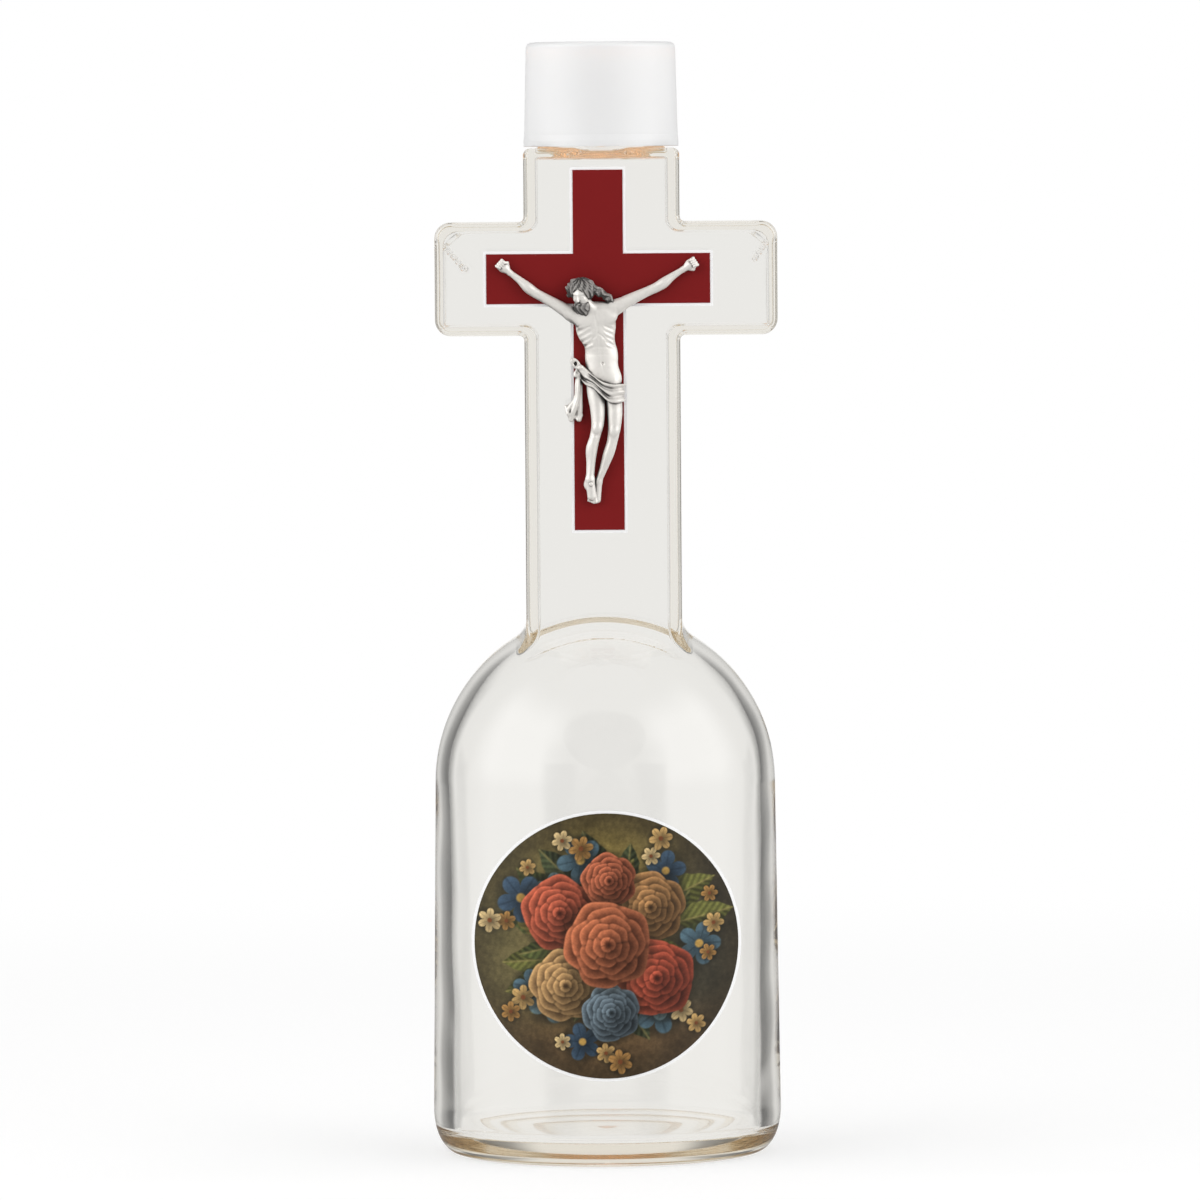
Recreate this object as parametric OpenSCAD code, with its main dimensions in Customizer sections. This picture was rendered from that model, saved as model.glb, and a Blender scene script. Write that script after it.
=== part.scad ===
// Holy water bottle: clear glass with a round domed body and a flat hollow neck in the form of a cross,
// a white screw cap with its liner, a printed red cross that carries a relief figure, and a round printed
// medallion on the body. Millimetres, +Z up. The origin is the middle of the base, and the front faces -Y.

/* [Body] */
// Outside diameter where the dome starts
body_top_d = 58.4; // [52:0.1:70]
// Outside diameter just above the rounded heel
body_base_d = 59.8; // [52:0.1:72]
// Height of the centre of the dome, where the straight side ends
dome_z = 63.8; // [56:0.1:80]
// Height of the rounded heel
heel_h = 7.5; // [4:0.1:12]
// How far the heel draws in from the side to the ring that the bottle stands on
heel_in = 4.2; // [2:0.1:7]
// Wall of the dome and of the top of the side
dome_wall = 2.3; // [1.5:0.1:4]
// Wall of the side just above the heel
side_wall = 3.6; // [1.5:0.1:5]
// Thickness of the bottom in its middle
floor_t = 3.6; // [1.2:0.1:8]
// Radius of the corner between the inside of the bottom and the side
floor_r = 1.2; // [1:0.1:8]
// Rise of the hollow under the base
push_up = 0.8; // [0.4:0.1:2.5]
// Diameter of the hollow under the base
push_up_d = 44; // [20:0.5:46]

/* [Cross neck] */
// Width of the upright of the cross
neck_w = 26.6; // [25:0.1:32]
// Depth of the cross, front to back
neck_depth = 22; // [21.8:0.1:28]
// Height of the shoulder under the cap
neck_top_z = 172.4; // [165:0.1:190]
// Span of the arms
arm_span = 58.4; // [46:0.1:72]
// Place of the arms' middle to the right of the middle of the upright
arm_x = 0.7; // [-1:0.1:1]
// Height of an arm
arm_h = 19.4; // [15:0.1:24]
// Height of the middle of the arms
arm_mid_z = 150.2; // [140:0.1:154]
// Rounding of the long edges of the cross
edge_r = 1.2; // [0.3:0.1:4]
// Rounding of the outline at the arm ends
corner_r = 2.8; // [1:0.1:5]
// Rounding of the outline where the arms meet the upright
inner_corner_r = 0.8; // [0.4:0.1:5]
// Rounding of the shoulder's edge under the cap
shoulder_r = 1.2; // [0.4:0.1:2]
// Wall of the cross
neck_wall = 2; // [1.4:0.1:3]
// Wall above and below the space in the arms
arm_wall = 1.5; // [1.2:0.1:3]
// Wall at the ends of the arms
arm_end_wall = 1.4; // [1.2:0.1:4]
// Thickness of the shoulder under the cap
shoulder_t = 1.5; // [1.2:0.1:3]
// Rounding inside the cross
cavity_r = 0.4; // [0.3:0.1:5]

/* [Threaded mouth] */
// Diameter of the mouth under its thread
root_d = 21.5; // [19:0.1:21.6]
// Diameter of the bore
mouth_d = 15.6; // [10:0.1:16]
// Height of the mouth above the shoulder
mouth_h = 15.5; // [13:0.1:18]
// Rounding of the lip, inside and outside
lip_r = 0.8; // [0.3:0.1:1.2]
// Height of the thread
thread_h = 1.1; // [0.6:0.05:1.2]
// Rise of the thread in one turn
thread_pitch = 3.175; // [2.8:0.005:4]
// Turns of the thread
thread_turns = 1.5; // [1:0.25:2]
// Width of the thread where it leaves the mouth
thread_w = 2; // [1.2:0.1:2.2]
// Width of the thread's crest
crest_w = 0.8; // [0.4:0.1:1]
// Drop from the lip to the middle of the thread's upper end
thread_drop = 2.2; // [1.6:0.1:3]

/* [Cap] */
// Clearance round the thread of the mouth, and round the mouth inside the cap's thread
thread_gap = 0.25; // [0.2:0.01:0.5]
// Wall of the skirt at its foot
cap_wall = 1.05; // [0.8:0.05:2]
// How much the skirt's radius shrinks from foot to top
cap_draft = 0.35; // [0:0.05:0.4]
// Thickness of the roof
cap_roof = 1.6; // [1:0.1:3]
// Rounding of the top edge
cap_edge_r = 1; // [0.4:0.1:1.2]
// Height of the rim round the foot
rim_h = 2; // [1:0.1:4]
// How far the rim stands out
rim_out = 0.12; // [0.05:0.01:0.4]
// Gap between the cap's foot and the shoulder
foot_gap = 0.3; // [0.2:0.05:1]
// Thickness of the liner
liner_t = 1; // [0.5:0.1:1.5]
// Clearance round the liner
liner_gap = 0.15; // [0.1:0.05:0.4]

/* [Printed films] */
// Thickness of one film
film_t = 0.1; // [0.05:0.01:0.3]
// Thickness of the adhesive between the glass and the white film
glue_t = 0.03; // [0.02:0.01:0.1]
// White border that shows round each print
border_w = 0.5; // [0.2:0.05:1]
// Width of the bars of the red cross
bar_w = 8.5; // [6:0.1:12]
// Length of its upright
upright_h = 61.3; // [52:0.1:66]
// Length of its crossbar
crossbar_w = 38.1; // [34:0.1:46]
// Place of its middle to the right of the middle of the neck
label_x = -0.65; // [-2:0.05:2]
// Rise of its top above the middle of the crossbar
upright_rise = 18.5; // [14:0.1:20]
// Diameter of the medallion's print
medallion_d = 44.8; // [30:0.1:48]
// Drop of the medallion's middle below the start of the dome
medallion_drop = 25.9; // [24:0.1:30]

/* [Figure] */
// Height of the figure, from its hair to its toes
figure_h = 38.6; // [30:0.1:42]

/* [Hidden] */
$fn = 96;

// Reach of cutters past the face that they cut, and of joined solids into each other
over = 1;
// Segments of a curve in a turned outline, and of a thread in one turn
curve_steps = 8;
thread_steps = 32;

// Body
body_top_r = body_top_d / 2;
body_base_r = body_base_d / 2;
base_ring_r = body_base_r - heel_in;
floor_z = push_up + floor_t;
push_up_sphere_r = (push_up_d * push_up_d / 4 + push_up * push_up) / (2 * push_up);
cavity_top_r = body_top_r - dome_wall;
cavity_base_r = body_base_r - side_wall;
// The cross starts inside the dome, low enough for its corners to be covered
neck_reach = norm([neck_w / 2, neck_depth / 2]);
neck_start_z = dome_z + sqrt(body_top_r * body_top_r - neck_reach * neck_reach) / 2;
// Depth of the space inside the cross
inner_depth = neck_depth - 2 * neck_wall;

// Mouth
root_r = root_d / 2;
mouth_top_z = neck_top_z + mouth_h;
thread_embed = 0.6;
thread_start_z = mouth_top_z - thread_drop - thread_pitch * thread_turns;
thread_ramp = thread_steps / 4;

// Cap
cap_bore_r = root_r + thread_h + thread_gap;
cap_foot_r = cap_bore_r + cap_wall;
cap_foot_z = neck_top_z + foot_gap;
cap_roof_z = mouth_top_z + liner_t;
cap_top_z = cap_roof_z + cap_roof;
cap_crest_w = 0.7;
cap_thread_w = 1.8;
cap_thread_embed = cap_wall / 2;

// Films: each layer's distance from the glass, and the front of the cross that carries them
white_back = glue_t;
print_back = white_back + film_t;
print_front = print_back + film_t;
front_y = -neck_depth / 2;

// Figure: its limbs are chains of balls, and its trunk is masses of balls. A ball is [x, z, lift, radius]:
// its place in the plane of the cross, from the middle of the crossbar, how far its middle is lifted off
// that plane, and its size, all at the reference height.
figure_ref_h = 38.6;
figure_scale = figure_h / figure_ref_h;
figure_segments = 16;
left_arm = [[-16.3, 2.4, 0.5, 1.0], [-15.1, 1.1, 0.5, 0.6], [-11.4, -1.6, 0.7, 0.8], [-4.9, -5.7, 1.0, 1.1]];
right_arm = [[16.1, 2.5, 0.5, 1.0], [14.6, 1.6, 0.5, 0.6], [10.1, -1.0, 0.7, 0.8], [3.2, -4.7, 1.0, 1.1]];
skull = [[-2.9, -1.8, 1.6, 1.9], [-2.7, -3.0, 1.8, 1.6]];
hair = [[-1.8, -2.2, 1.0, 1.8], [0.5, -4.8, 0.8, 0.7]];
beard = [[-2.9, -3.8, 1.8, 1.3], [-3.1, -5.2, 1.7, 0.7]];
chest = [[-4.1, -5.9, 0.8, 1.1], [3.2, -4.7, 0.8, 1.1], [-2.2, -7.4, 0.9, 1.7], [1.3, -7.0, 0.9, 1.7]];
belly = [[-2.1, -7.6, 0.8, 1.7], [1.3, -7.2, 0.8, 1.7], [-0.4, -14.0, 0.6, 1.7], [1.8, -14.0, 0.6, 1.7]];
loincloth = [[-0.6, -14.8, 0.7, 1.8], [2.1, -14.8, 0.7, 1.8],
             [-0.8, -18.2, 0.8, 1.7], [2.5, -19.4, 0.8, 1.6]];
knot = [[-1.0, -15.0, 0.9, 0.9], [-3.6, -14.8, 0.7, 1.0]];
loose_end = [[-3.6, -14.8, 0.6, 0.8], [-3.5, -20.2, 0.5, 0.8], [-4.5, -23.2, 0.4, 1.2]];
left_leg = [[-0.8, -18.6, 0.8, 1.7], [-0.8, -25.2, 1.2, 1.2],
            [-1.8, -33.8, 0.9, 0.8], [-1.4, -37.3, 0.7, 0.8]];
right_leg = [[2.4, -18.8, 0.8, 1.7], [2.4, -26.0, 1.0, 1.2],
             [-0.4, -34.2, 0.6, 0.75], [-0.6, -36.6, 0.4, 0.7]];

// A rectangle about the middle with round corners
module round_rect(w, h, r) {
    square([w - 2 * r, h], center = true);
    square([w, h - 2 * r], center = true);
    for (x = [-1, 1], y = [-1, 1])
        translate([x * (w / 2 - r), y * (h / 2 - r)]) circle(r);
}

// An upright rectangle from z_lo to z_hi with its top corners rounded
module round_top(w, z_lo, z_hi, r) {
    translate([-w / 2, z_lo]) square([w, z_hi - z_lo - r]);
    translate([-w / 2 + r, z_lo]) square([w - 2 * r, z_hi - z_lo]);
    for (x = [-1, 1])
        translate([x * (w / 2 - r), z_hi - r]) circle(r);
}

// Extrudes a drawing of X and Z along Y, about the middle
module along_y(depth) {
    rotate([90, 0, 0]) linear_extrude(depth, center = true) children();
}

// Extrudes a drawing of Y and Z along X, about the middle
module along_x(width) {
    rotate([90, 0, 90]) linear_extrude(width, center = true) children();
}

// The upright of the cross, solid, or as the space inside it
module upright(w, depth, z_hi, side_r, top_r) {
    intersection() {
        translate([0, 0, neck_start_z]) linear_extrude(z_hi - neck_start_z) round_rect(w, depth, side_r);
        along_y(depth + 2 * over) round_top(w, neck_start_z - over, z_hi, top_r);
        along_x(w + 2 * over) round_top(depth, neck_start_z - over, z_hi, top_r);
    }
}

// The arms of the cross, solid, or as the space inside them
module arms(span, depth, h, long_r, end_r) {
    translate([arm_x, 0, arm_mid_z]) intersection() {
        along_x(span + 2 * over) round_rect(depth, h, long_r);
        along_y(depth + 2 * over) round_rect(span, h, end_r);
        linear_extrude(h + 2 * over, center = true) round_rect(span, depth, long_r);
    }
}

// The rounding where the arms meet the upright, on the flat parts of their sides
module inner_corners() {
    for (x = [-1, 1], z = [-1, 1])
        translate([x * neck_w / 2, 0, arm_mid_z + z * arm_h / 2])
            along_y(neck_depth - 2 * edge_r)
                inner_corner(x, z);
}

// One rounding, drawn for the corner that x and z point to
module inner_corner(x, z) {
    mirror([x < 0 ? 1 : 0, 0]) mirror([0, z < 0 ? 1 : 0])
        difference() {
            translate([-over, -over]) square(inner_corner_r + over);
            translate([inner_corner_r, inner_corner_r]) circle(inner_corner_r);
        }
}

// The outside of the round body, up to the start of the dome
module body_side() {
    heel = [for (i = [0:curve_steps])
        let (a = 90 * i / curve_steps)
        [base_ring_r + heel_in * sin(a), heel_h * (1 - cos(a))]];
    rotate_extrude() polygon(concat([[0, 0]], heel, [[body_top_r, dome_z], [0, dome_z]]));
}

// The space inside the round body, up to the start of the dome
module body_space() {
    corner_x = cavity_base_r - floor_r;
    corner_z = floor_z + floor_r;
    corner = [for (i = [0:curve_steps])
        let (a = 90 * i / curve_steps)
        [corner_x + floor_r * sin(a), corner_z - floor_r * cos(a)]];
    rotate_extrude() polygon(concat([[0, floor_z]], corner, [[cavity_top_r, dome_z], [0, dome_z]]));
}

// The threaded mouth without its thread and bore
module mouth_tube() {
    lip = [for (i = [0:curve_steps])
        let (a = 90 * i / curve_steps)
        [root_r - lip_r + lip_r * cos(a), mouth_top_z - lip_r + lip_r * sin(a)]];
    rotate_extrude()
        polygon(concat([[0, neck_top_z - shoulder_t / 2], [root_r, neck_top_z - shoulder_t / 2]], lip,
                       [[0, mouth_top_z]]));
}

// The bore, flared at the lip
module mouth_bore() {
    bore_r = mouth_d / 2;
    bore_z = neck_top_z - shoulder_t - cavity_r;
    flare = [for (i = [0:curve_steps])
        let (a = 90 * i / curve_steps)
        [bore_r + lip_r - lip_r * cos(a), mouth_top_z - lip_r + lip_r * sin(a)]];
    rotate_extrude()
        polygon(concat([[0, bore_z], [bore_r, bore_z]], flare,
                       [[bore_r + lip_r, mouth_top_z + over], [0, mouth_top_z + over]]));
}

// One cross-section of a thread: two points in the wall that it stands on, and two on its crest
function thread_ring(wall_r, crest_r, wall_w, top_w, a, z) = [
    [wall_r * cos(a), wall_r * sin(a), z - wall_w / 2],
    [crest_r * cos(a), crest_r * sin(a), z - top_w / 2],
    [crest_r * cos(a), crest_r * sin(a), z + top_w / 2],
    [wall_r * cos(a), wall_r * sin(a), z + wall_w / 2]
];

// A right-hand thread that starts at z on +X and rises, and sinks into its wall at both ends.
// The crest lies outside the wall's radius on the mouth, and inside it in the cap.
module thread(wall_r, crest_r, wall_w, top_w, z) {
    last = ceil(thread_turns * thread_steps);
    sunk = 0.2;
    rings = [for (i = [0:last])
        let (f = max(sunk, min(1, min(i, last - i) / thread_ramp)))
        thread_ring(wall_r, wall_r + f * (crest_r - wall_r), wall_w, top_w,
                    360 * i / thread_steps, z + thread_pitch * i / thread_steps)];
    points = [for (ring = rings) each ring];
    sides = [for (i = [0:last - 1], k = [0:3])
        let (a = 4 * i + k, b = 4 * i + (k + 1) % 4, c = a + 4, d = b + 4)
        each [[a, b, c], [b, d, c]]];
    far = 4 * last;
    ends = [[0, 2, 1], [0, 3, 2], [far, far + 1, far + 2], [far, far + 2, far + 3]];
    faces = concat(sides, ends);
    inward = crest_r < wall_r;
    polyhedron(points, [for (f = faces) inward ? [f[0], f[2], f[1]] : f]);
}

module glass_bottle() {
    color("whitesmoke", 0.5)
    difference() {
        union() {
            body_side();
            translate([0, 0, dome_z]) sphere(body_top_r);
            upright(neck_w, neck_depth, neck_top_z, edge_r, shoulder_r);
            arms(arm_span, neck_depth, arm_h, edge_r, corner_r);
            inner_corners();
            mouth_tube();
            thread(root_r - thread_embed, root_r + thread_h, thread_w, crest_w, thread_start_z);
        }
        body_space();
        translate([0, 0, dome_z]) sphere(cavity_top_r);
        upright(neck_w - 2 * neck_wall, inner_depth, neck_top_z - shoulder_t, cavity_r, cavity_r);
        arms(arm_span - 2 * arm_end_wall, inner_depth, arm_h - 2 * arm_wall, cavity_r, cavity_r);
        mouth_bore();
        translate([0, 0, push_up - push_up_sphere_r]) sphere(push_up_sphere_r);
    }
}

// The cap's outside: a rim round the foot, a slightly drawn-in skirt and a rounded top edge
module cap_outside() {
    top_r = cap_foot_r - cap_draft;
    edge = [for (i = [0:curve_steps])
        let (a = 90 * i / curve_steps)
        [top_r - cap_edge_r + cap_edge_r * cos(a), cap_top_z - cap_edge_r + cap_edge_r * sin(a)]];
    rotate_extrude()
        polygon(concat([[0, cap_foot_z], [cap_foot_r + rim_out, cap_foot_z],
                        [cap_foot_r + rim_out, cap_foot_z + rim_h / 2], [cap_foot_r, cap_foot_z + rim_h]],
                       edge, [[0, cap_top_z]]));
}

module screw_cap() {
    color("white") {
        difference() {
            cap_outside();
            translate([0, 0, cap_foot_z - over]) cylinder(h = cap_roof_z - cap_foot_z + over, r = cap_bore_r);
        }
        thread(cap_bore_r + cap_thread_embed, root_r + thread_gap, cap_thread_w, cap_crest_w,
               thread_start_z - thread_pitch / 2);
    }
}

module cap_liner() {
    color("ivory")
    translate([0, 0, mouth_top_z]) cylinder(h = liner_t, r = cap_bore_r - liner_gap);
}

// The flat cross, grown all round by a border, from one distance in front of the glass to another
module cross_film(grow, from, to) {
    translate([label_x, front_y - to, 0]) rotate([-90, 0, 0]) linear_extrude(to - from) mirror([0, 1]) {
        translate([-bar_w / 2 - grow, arm_mid_z + upright_rise - upright_h - grow])
            square([bar_w + 2 * grow, upright_h + 2 * grow]);
        translate([-crossbar_w / 2 - grow, arm_mid_z - bar_w / 2 - grow])
            square([crossbar_w + 2 * grow, bar_w + 2 * grow]);
    }
}

module cross_label_backing() {
    color("white") cross_film(border_w, white_back, print_back);
}

module cross_label_print() {
    color("#7e2021") cross_film(0, print_back, print_front);
}

// The side of the body, grown outward
module side_cone(grow) {
    translate([0, 0, heel_h])
        cylinder(h = dome_z - heel_h, r1 = body_base_r + grow, r2 = body_top_r + grow);
}

// A round film on the front of the body, from one distance in front of the glass to another
module round_film(d, from, to) {
    intersection() {
        difference() {
            side_cone(to);
            side_cone(from);
        }
        translate([0, 0, dome_z - medallion_drop]) rotate([90, 0, 0]) cylinder(h = body_base_d, d = d);
    }
}

module medallion_backing() {
    color("white") round_film(medallion_d + 2 * border_w, white_back, print_back);
}

module medallion_print() {
    color("#6d5a44") round_film(medallion_d, print_back, print_front);
}

// One ball of the figure, in front of the plane of the cross
module ball(b) {
    translate([b[0], -b[2], b[1]]) sphere(b[3], $fn = figure_segments);
}

// A limb that tapers from ball to ball
module limb(balls) {
    for (i = [0:len(balls) - 2])
        hull() {
            ball(balls[i]);
            ball(balls[i + 1]);
        }
}

// A rounded mass over all its balls
module mass(balls) {
    hull()
        for (b = balls)
            ball(b);
}

module figure() {
    for (chain = [left_arm, right_arm, skull, hair, beard, knot, loose_end, left_leg, right_leg])
        limb(chain);
    for (balls = [chest, belly, loincloth])
        mass(balls);
}

module corpus() {
    color("silver")
    translate([label_x, front_y - print_front, arm_mid_z]) scale(figure_scale) intersection() {
        figure();
        translate([-arm_span / 2, -neck_depth, -upright_h]) cube([arm_span, neck_depth, 2 * upright_h]);
    }
}

glass_bottle();
screw_cap();
cap_liner();
cross_label_backing();
cross_label_print();
corpus();
medallion_backing();
medallion_print();
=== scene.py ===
import math

import bpy
import numpy as np
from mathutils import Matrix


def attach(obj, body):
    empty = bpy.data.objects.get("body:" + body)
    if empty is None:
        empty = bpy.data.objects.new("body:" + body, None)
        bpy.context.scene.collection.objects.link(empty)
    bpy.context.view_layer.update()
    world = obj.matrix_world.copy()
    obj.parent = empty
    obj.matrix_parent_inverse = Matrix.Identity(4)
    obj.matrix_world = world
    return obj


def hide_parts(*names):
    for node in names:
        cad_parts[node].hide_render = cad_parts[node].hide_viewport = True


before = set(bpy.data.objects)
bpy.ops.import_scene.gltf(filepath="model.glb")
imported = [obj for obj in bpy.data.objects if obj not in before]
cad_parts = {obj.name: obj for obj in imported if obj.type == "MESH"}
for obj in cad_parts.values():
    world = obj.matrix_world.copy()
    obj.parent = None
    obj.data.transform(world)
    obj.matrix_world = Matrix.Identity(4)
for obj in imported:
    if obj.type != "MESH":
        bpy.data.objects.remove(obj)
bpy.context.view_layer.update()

import openvdb
from mathutils import Matrix, Vector

MM = 0.001

# Sizes in millimetres, the main ones as in the part's source. The thread's fade is a share of a turn.
BODY_TOP_R = 29.2
BODY_BASE_R = 29.9
DOME_Z = 63.8
HEEL_H = 7.5
HEEL_IN = 4.2
CAVITY_TOP_R = BODY_TOP_R - 2.3
CAVITY_BASE_R = BODY_BASE_R - 3.6
FLOOR_T = 4.4
FLOOR_R = 1.2
PUSH_UP = 0.8
PUSH_UP_R = 22.0
FOOT_R = 0.6

NECK_HALF_W = 13.3
NECK_HALF_D = 11.0
NECK_TOP_Z = 172.4
NECK_START_Z = 75.6
ARM_X = 0.7
ARM_HALF_SPAN = 29.2
ARM_HALF_H = 9.7
ARM_Z = 150.2
LABEL_X = -0.65
EDGE_R = 1.2
CORNER_R = 2.8
INNER_CORNER_R = 0.8
SHOULDER_R = 1.2
NECK_WALL = 2.0
ARM_WALL = 1.5
ARM_END_WALL = 1.4
SHOULDER_T = 1.5
CAVITY_R = 0.4
CAVITY_INNER_R = 2.0
SEAM_OUT_R = 2.0
SEAM_IN_R = 3.0

ROOT_R = 10.75
MOUTH_R = 7.8
MOUTH_TOP_Z = 187.9
TUBE_FROM_Z = 100
BORE_FROM_Z = 160
LIP_R = 0.8
THREAD_H = 1.1
THREAD_HALF_W = 0.9
THREAD_PITCH = 3.175
THREAD_TURNS = 1.5
THREAD_DROP = 2.2
THREAD_START_Z = MOUTH_TOP_Z - THREAD_DROP - THREAD_PITCH * THREAD_TURNS
THREAD_FADE = 0.25
TUBE_FILLET = 0.5
THREAD_FILLET = 0.25
BORE_FILLET = 1.2

FILM_GAP = 0.03
FILM_T = 0.1


# Fields: each gives the distance to a surface, below zero inside

def hypot(*parts):
    return np.sqrt(sum(p * p for p in parts))


def round_join(a, b, r):
    """Both forms, with a fillet of radius r between them."""
    u = np.maximum(r - a, 0)
    v = np.maximum(r - b, 0)
    return np.maximum(r, np.minimum(a, b)) - hypot(u, v)


def round_cut(a, b, r):
    """What both forms share, with its edge rounded to radius r."""
    u = np.maximum(r + a, 0)
    v = np.maximum(r + b, 0)
    return np.minimum(-r, np.maximum(a, b)) + hypot(u, v)


def blend(a, b, k):
    """Both forms, run together over a width of k."""
    h = np.maximum(k - np.abs(a - b), 0) / k
    return np.minimum(a, b) - h * h * k / 4


def rect(u, v, half_u, half_v, r):
    return round_cut(np.abs(u) - half_u, np.abs(v) - half_v, r)


def smooth(x):
    x = np.clip(x, 0, 1)
    return x * x * (3 - 2 * x)


def bump(x, width):
    return np.exp(-(x / width) ** 2)


def seg(x, h, z, a, b):
    """A rod from ball a to ball b, each [x, h, z, radius]."""
    dx, dh, dz, dr = (b[i] - a[i] for i in range(4))
    t = ((x - a[0]) * dx + (h - a[1]) * dh + (z - a[2]) * dz) / (dx * dx + dh * dh + dz * dz)
    t = np.clip(t, 0, 1)
    return hypot(x - a[0] - t * dx, h - a[1] - t * dh, z - a[2] - t * dz) - a[3] - t * dr


def spaced(low, high, step, fine=()):
    """Places from low to high, a step apart, or closer in the fine stretches, each [start, end, step]."""
    places = [low]
    while places[-1] < high:
        here = places[-1]
        gap = min([f[2] for f in fine if f[0] <= here + 1e-9 < f[1]], default=step)
        starts = [f[0] - here for f in fine if here + 1e-9 < f[0] < here + gap and f[2] < gap]
        places.append(here + min(starts, default=gap))
    return np.array(places)


def surface(name, field, axes, slab=24):
    """A mesh of the place where a field is zero, with its points and normals taken from the field."""
    values = np.empty([len(a) for a in axes], np.float32)
    x = axes[0][:, None, None]
    y = axes[1][None, :, None]
    for k in range(0, len(axes[2]), slab):
        z = axes[2][None, None, k:k + slab]
        values[:, :, k:k + slab] = field(x, y, z)
    grid = openvdb.FloatGrid(float(values.max()))
    grid.copyFromArray(values)
    places, quads = grid.convertToQuads(isovalue=0.0)
    points = np.stack([np.interp(places[:, i], np.arange(len(axes[i])), axes[i]) for i in range(3)], 1)
    order = np.argsort(points[:, 2], kind="stable")
    rank = np.empty(len(order), int)
    rank[order] = np.arange(len(order))
    points = points[order]
    quads = rank[quads.astype(int)]

    reach = max(np.diff(a).max() for a in axes)
    for _ in range(5):
        g = slope(field, points)
        move = along(field, points) / np.maximum((g * g).sum(1), 0.05)
        points -= np.clip(move, -reach, reach)[:, None] * np.clip(g, -4, 4)
    normals = slope(field, points)
    normals /= np.maximum(np.linalg.norm(normals, axis=1), 1e-9)[:, None]

    corner = points[quads[:, :3]]
    facing = np.cross(corner[:, 1] - corner[:, 0], corner[:, 2] - corner[:, 0])
    if (facing * normals[quads[:, 0]]).sum() < 0:
        quads = quads[:, ::-1]
    return quad_mesh(name, points, quads, normals), points, normals


def along(field, points, size=6000):
    """A field at points that are sorted by height, some at a time, so that it can skip what is far off."""
    return np.concatenate([field(*points[k:k + size].T) for k in range(0, len(points), size)])


def slope(field, points):
    e = 0.004
    rises = [along(field, points + d) - along(field, points - d) for d in np.eye(3) * e]
    return np.stack([rise / (2 * e) for rise in rises], 1)


def quad_mesh(name, points, quads, normals=None):
    mesh = bpy.data.meshes.new(name)
    mesh.vertices.add(len(points))
    mesh.vertices.foreach_set("co", (points * MM).astype(np.float32).ravel())
    mesh.loops.add(quads.size)
    mesh.loops.foreach_set("vertex_index", np.ascontiguousarray(quads, dtype=np.int32).ravel())
    mesh.polygons.add(len(quads))
    mesh.polygons.foreach_set("loop_start", np.arange(0, quads.size, 4, dtype=np.int32))
    mesh.update(calc_edges=True)
    mesh.validate()
    mesh.shade_smooth()
    if normals is not None and len(mesh.vertices) == len(normals):
        mesh.normals_split_custom_set_from_vertices(normals)
    piece = bpy.data.objects.new(name, mesh)
    bpy.context.scene.collection.objects.link(piece)
    return piece


# The glass

def body_outside(r, z):
    run = np.clip((z - HEEL_H) / (DOME_Z - HEEL_H), 0, 1)
    side = r - (BODY_BASE_R + (BODY_TOP_R - BODY_BASE_R) * run)
    dome = hypot(r, z - DOME_Z) - BODY_TOP_R
    u = np.maximum((r - BODY_BASE_R + HEEL_IN) / HEEL_IN, 0)
    w = np.maximum((HEEL_H - z) / HEEL_H, 0)
    heel = (u * u + w * w - 1) / (2 * hypot(u / HEEL_IN, w / HEEL_H) + 1e-9)
    solid = np.where(z > DOME_Z, dome, np.where((u > 0) & (w > 0), heel, np.maximum(side, -z)))
    sphere_r = (PUSH_UP_R ** 2 + PUSH_UP ** 2) / (2 * PUSH_UP)
    hollow = sphere_r - hypot(r, z - PUSH_UP + sphere_r)
    return round_cut(solid, hollow, FOOT_R)


def body_inside(r, z):
    corner_z = FLOOR_T + FLOOR_R
    run = np.clip((z - corner_z) / (DOME_Z - corner_z), 0, 1)
    side = r - (CAVITY_BASE_R + (CAVITY_TOP_R - CAVITY_BASE_R) * run)
    low = round_cut(side, FLOOR_T - z, FLOOR_R)
    dome = hypot(r, z - DOME_Z) - CAVITY_TOP_R
    return np.where(z > DOME_Z, dome, low)


def cross_form(x, y, z, wall, arm_wall, end_wall, top_z, edge, corner, top_r, inner):
    middle = (top_z + NECK_START_Z) / 2
    shaft = rect(x, z - middle, NECK_HALF_W - wall, top_z - middle, top_r)
    arms = rect(x - ARM_X, z - ARM_Z, ARM_HALF_SPAN - end_wall, ARM_HALF_H - arm_wall, corner)
    return round_cut(round_join(shaft, arms, inner), np.abs(y) - NECK_HALF_D + wall, edge)


def thread(x, y, z, r):
    turn = np.arctan2(y, x) / (2 * math.pi) % 1.0
    found = 9.0
    for k in range(2):
        t = turn + k
        h = 0.02 + THREAD_H * smooth(np.minimum(t, THREAD_TURNS - t) / THREAD_FADE)
        e = hypot((r - ROOT_R) / h, (z - THREAD_START_Z - THREAD_PITCH * t) / THREAD_HALF_W)
        found = np.minimum(found, (e - 1) * np.minimum(h, THREAD_HALF_W))
    return found


def waves(x, y, z):
    """Slow unevenness of the blown inside, none near its flat bottom."""
    a = np.sin(0.21 * x + 0.13 * z + 0.6) * np.sin(0.19 * y - 0.11 * z + 1.9)
    b = np.sin(0.37 * z - 0.23 * x + 2.2) * np.sin(0.31 * x + 0.29 * y + 0.3)
    return (0.025 * a + 0.015 * b) * smooth((z - 8) / 10)


# Folds in the upper corners of the arms: both ends of each as x and z, and its height
FOLDS = (
    ((-26.9, 155.8), (-23.6, 152.1), 0.45),
    ((26.0, 153.2), (28.3, 156.5), 0.4),
)
FOLD_W = 0.3
FOLD_Y = 7.5
FOLD_END = (-23.4, 152.0)
FOLD_DROP = 0.8
FOLD_DROP_R = 0.42

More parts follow.
